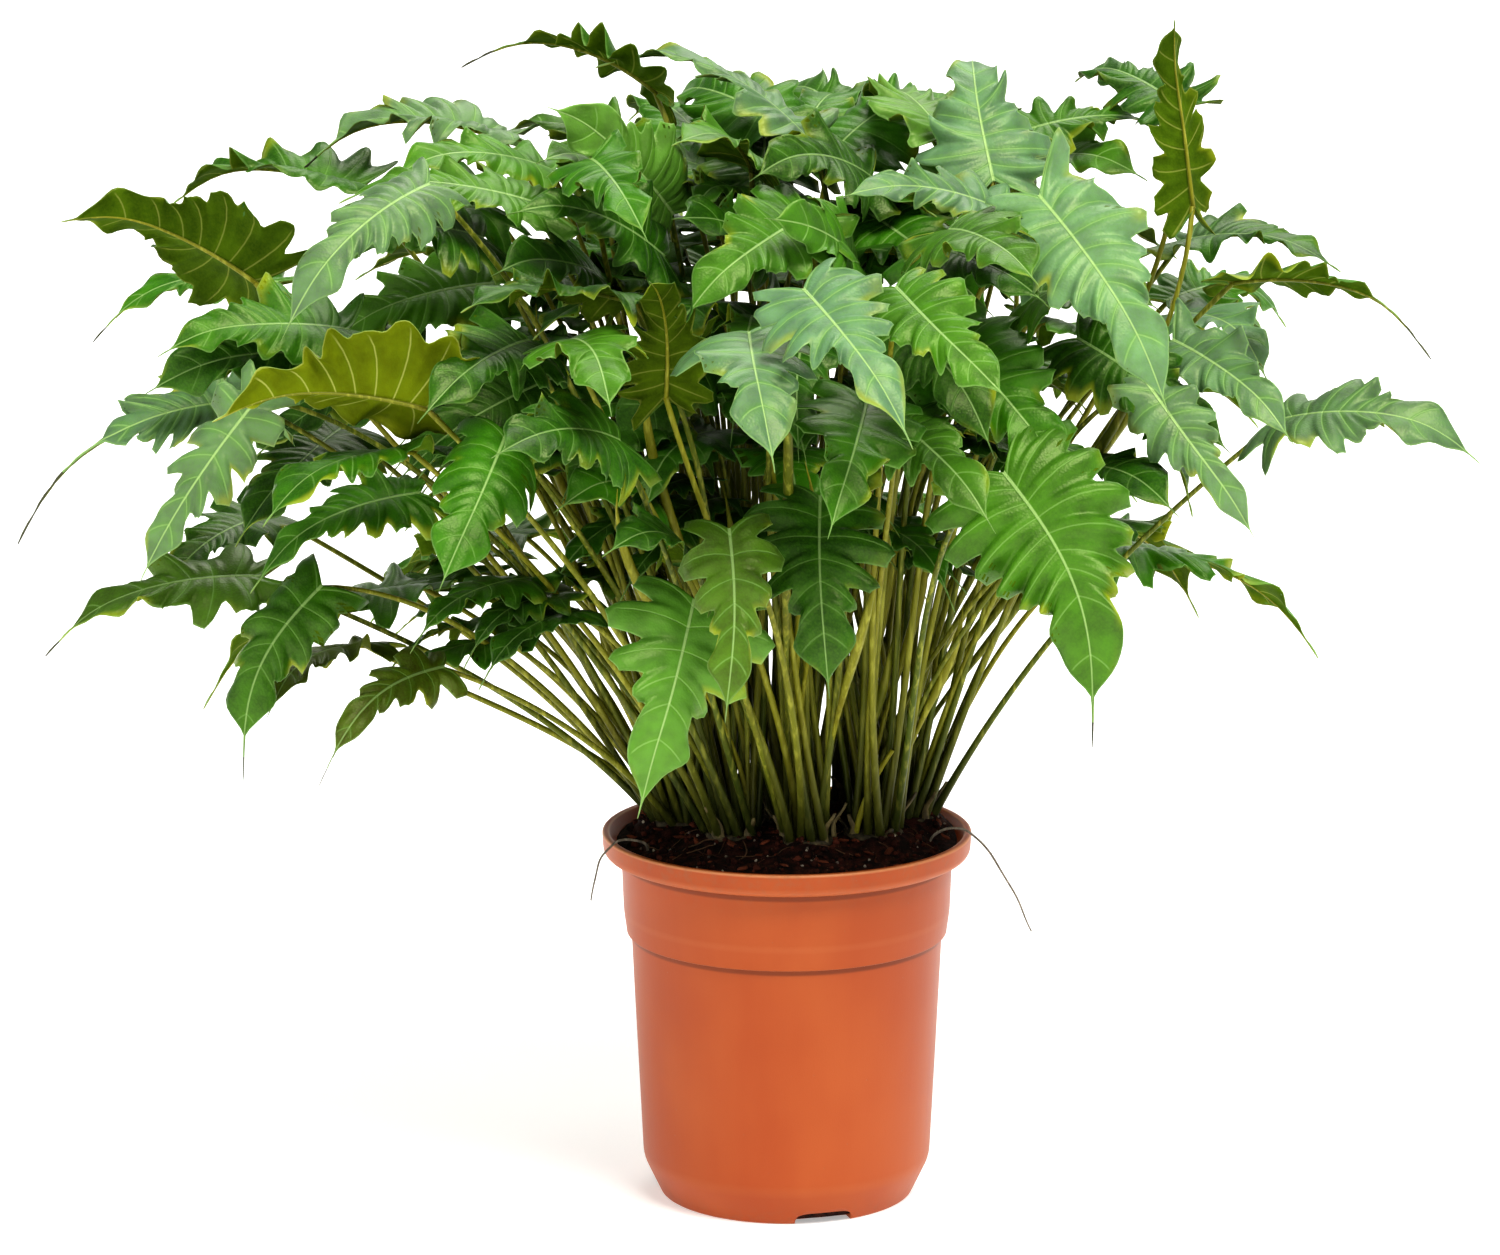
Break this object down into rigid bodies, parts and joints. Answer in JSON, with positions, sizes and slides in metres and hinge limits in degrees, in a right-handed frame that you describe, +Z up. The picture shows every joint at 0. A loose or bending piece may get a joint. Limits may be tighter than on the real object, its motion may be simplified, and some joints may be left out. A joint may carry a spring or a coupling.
{
  "type": "potted xanadu philodendron",
  "caption": "Bushy house plant with deeply lobed leaves on long stalks, rooted in a round flared nursery pot with a wide rim.",
  "frame": {"origin": "middle of the pot's flat underside", "axes": "+Z up along the pot's axis, +X to the right seen from the front, -Y towards the front"},
  "size_m": [0.9199, 0.7176, 0.7801],
  "materials": {
    "pot_plastic": "satin moulded polypropylene",
    "peat": "loose damp potting peat",
    "foliage": "semi-gloss leathery leaf",
    "root": "dry fibrous root"
  },
  "bodies": {
    "root": {"pot": "pot_plastic", "peat": "peat", "root_left": "root", "root_right": "root", "crown_left": "foliage", "crown_front_left": "foliage", "crown_front": "foliage", "crown_front_right": "foliage", "crown_right": "foliage", "crown_back_right": "foliage", "crown_back": "foliage", "crown_back_left": "foliage", "crown_middle": "foliage"}
  },
  "joints": []
}
